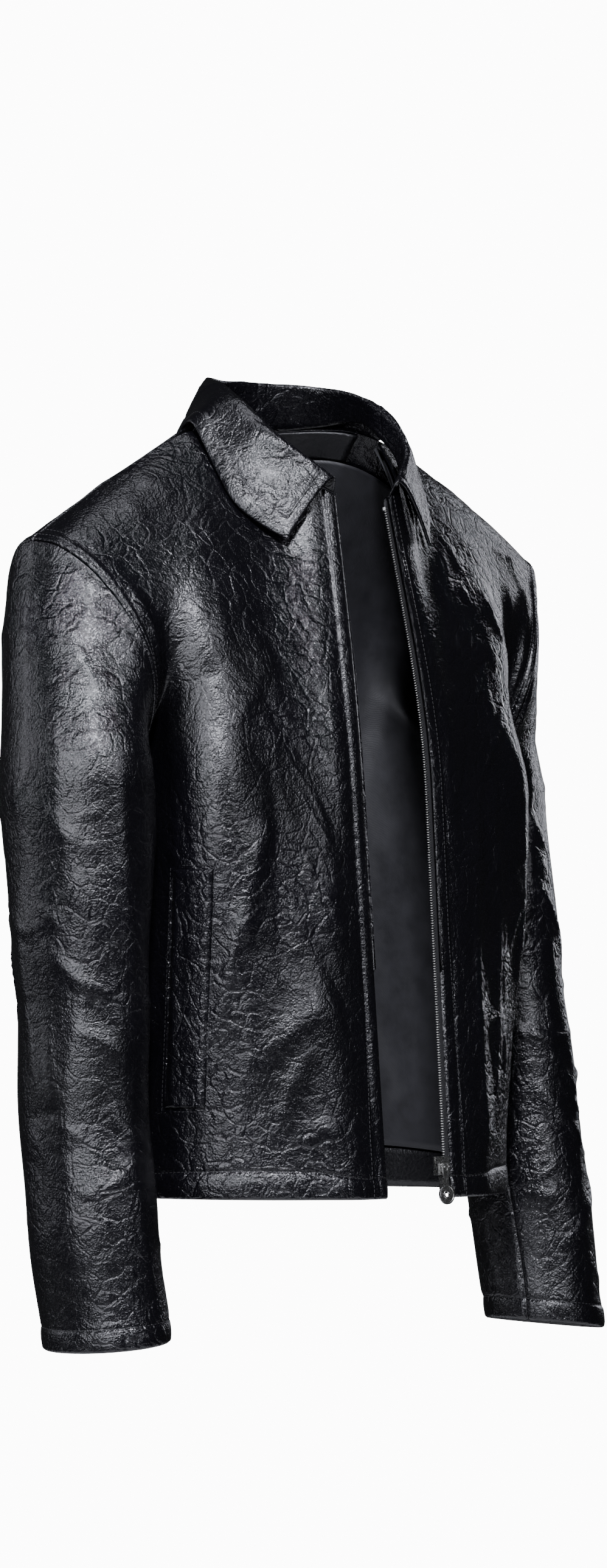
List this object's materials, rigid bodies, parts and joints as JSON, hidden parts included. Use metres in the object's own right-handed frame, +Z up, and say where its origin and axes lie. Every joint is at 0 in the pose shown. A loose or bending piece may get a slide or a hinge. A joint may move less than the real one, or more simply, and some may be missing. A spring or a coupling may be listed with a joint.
{
  "type": "leather welding jacket",
  "caption": "Waist-length leather jacket worn open: pointed collar, metal front zip with a disc pull, slanted welt pockets and straight hem and cuffs.",
  "frame": {"origin": "middle of the neck opening, level with the high points of the shoulders, where the wearer's neck and shoulders carry the jacket", "axes": "+Z up, the front faces -Y, +X towards the wearer's left"},
  "size_m": [0.5736, 0.3008, 0.77],
  "materials": {
    "leather": "glossy crinkled black hide",
    "lining": "smooth black lining cloth",
    "zip_tape": "matt woven black tape",
    "zip_metal": "polished silver metal"
  },
  "bodies": {
    "jacket_body": {"front_panel_right": "leather", "front_panel_left": "leather", "back_panel": "leather", "collar_leaf": "leather", "undercollar": "leather", "collar_stand": "leather", "front_facing_right": "leather", "front_facing_left": "leather", "hem_turn_right": "leather", "hem_turn_left": "leather", "hem_turn_back": "leather", "neck_facing": "leather", "pocket_welt_right": "leather", "pocket_welt_left": "leather", "hanger_loop": "leather", "neck_label": "leather", "front_lining_right": "lining", "front_lining_left": "lining", "back_lining": "lining", "pocket_bag_right": "lining", "pocket_bag_left": "lining", "zip_tape_right": "zip_tape", "zip_tape_left": "zip_tape", "zip_teeth_right": "zip_metal", "zip_teeth_left": "zip_metal", "zip_top_stop_right": "zip_metal", "zip_top_stop_left": "zip_metal", "zip_retainer_box": "zip_metal", "zip_insertion_pin": "zip_metal"},
    "zip_slider_body": {"zip_slider": "zip_metal", "zip_slider_bridge": "zip_metal"},
    "zip_pull": {"zip_pull_stem": "zip_metal", "zip_pull_disc": "zip_metal"},
    "sleeve_right": {"sleeve_top_right": "leather", "sleeve_under_right": "leather", "cuff_turn_right": "leather", "sleeve_lining_right": "lining"},
    "sleeve_left": {"sleeve_top_left": "leather", "sleeve_under_left": "leather", "cuff_turn_left": "leather", "sleeve_lining_left": "lining"}
  },
  "joints": [
    {"name": "zip_slide", "type": "slide", "parent": "jacket_body", "child": "zip_slider_body", "axis": [0.0094, 0.0815, 0.9966], "range_m": [0, 0.26]},
    {"name": "zip_pull_swing", "type": "hinge", "parent": "zip_slider_body", "child": "zip_pull", "pos_m": [0.02653, -0.15952, -0.58608], "axis": [-1, 0.0008, 0.0094], "range_deg": [0, 150]},
    {"name": "sleeve_right_lift", "type": "hinge", "parent": "jacket_body", "child": "sleeve_right", "pos_m": [-0.259, 0.002, -0.098], "axis": [0, 1, 0], "range_deg": [0, 25]},
    {"name": "sleeve_left_lift", "type": "hinge", "parent": "jacket_body", "child": "sleeve_left", "pos_m": [0.259, 0.016, -0.098], "axis": [0, -1, 0], "range_deg": [0, 25]}
  ]
}
